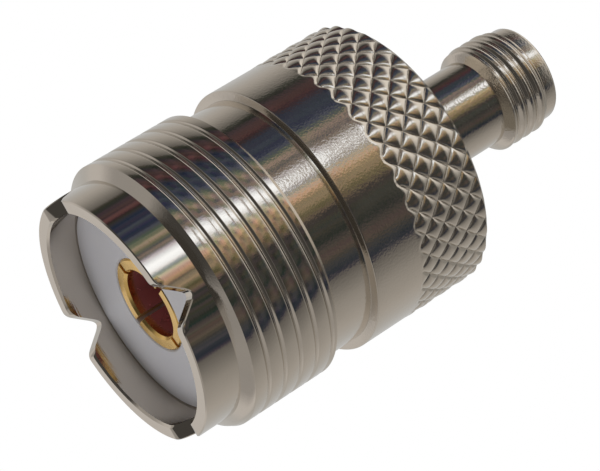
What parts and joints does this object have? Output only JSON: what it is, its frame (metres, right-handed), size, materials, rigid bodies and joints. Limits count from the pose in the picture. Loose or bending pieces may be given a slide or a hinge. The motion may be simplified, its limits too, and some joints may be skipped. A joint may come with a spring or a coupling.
{
  "type": "coaxial adapter",
  "caption": "Straight coaxial adapter: a notched, threaded socket with a slotted contact, a knurled grip and a slim threaded jack on one axis.",
  "frame": {"origin": "centre of the large socket's rim, on the plane that the part stands on", "axes": "+Z along the turned axis from the large socket to the small jack; the rim notches lie on X and Y"},
  "size_m": [0.016, 0.016, 0.0287],
  "materials": {
    "plated_shell": "bright nickel plate on turned brass, mirror-like with fine turning marks",
    "insulator": "waxy white fluoroplastic, satin",
    "contact": "gold plate, polished"
  },
  "bodies": {
    "root": {"body_shell": "plated_shell", "jack_shell": "plated_shell", "large_insulator": "insulator", "small_insulator": "insulator", "large_contact": "contact", "small_contact": "contact"}
  },
  "joints": []
}
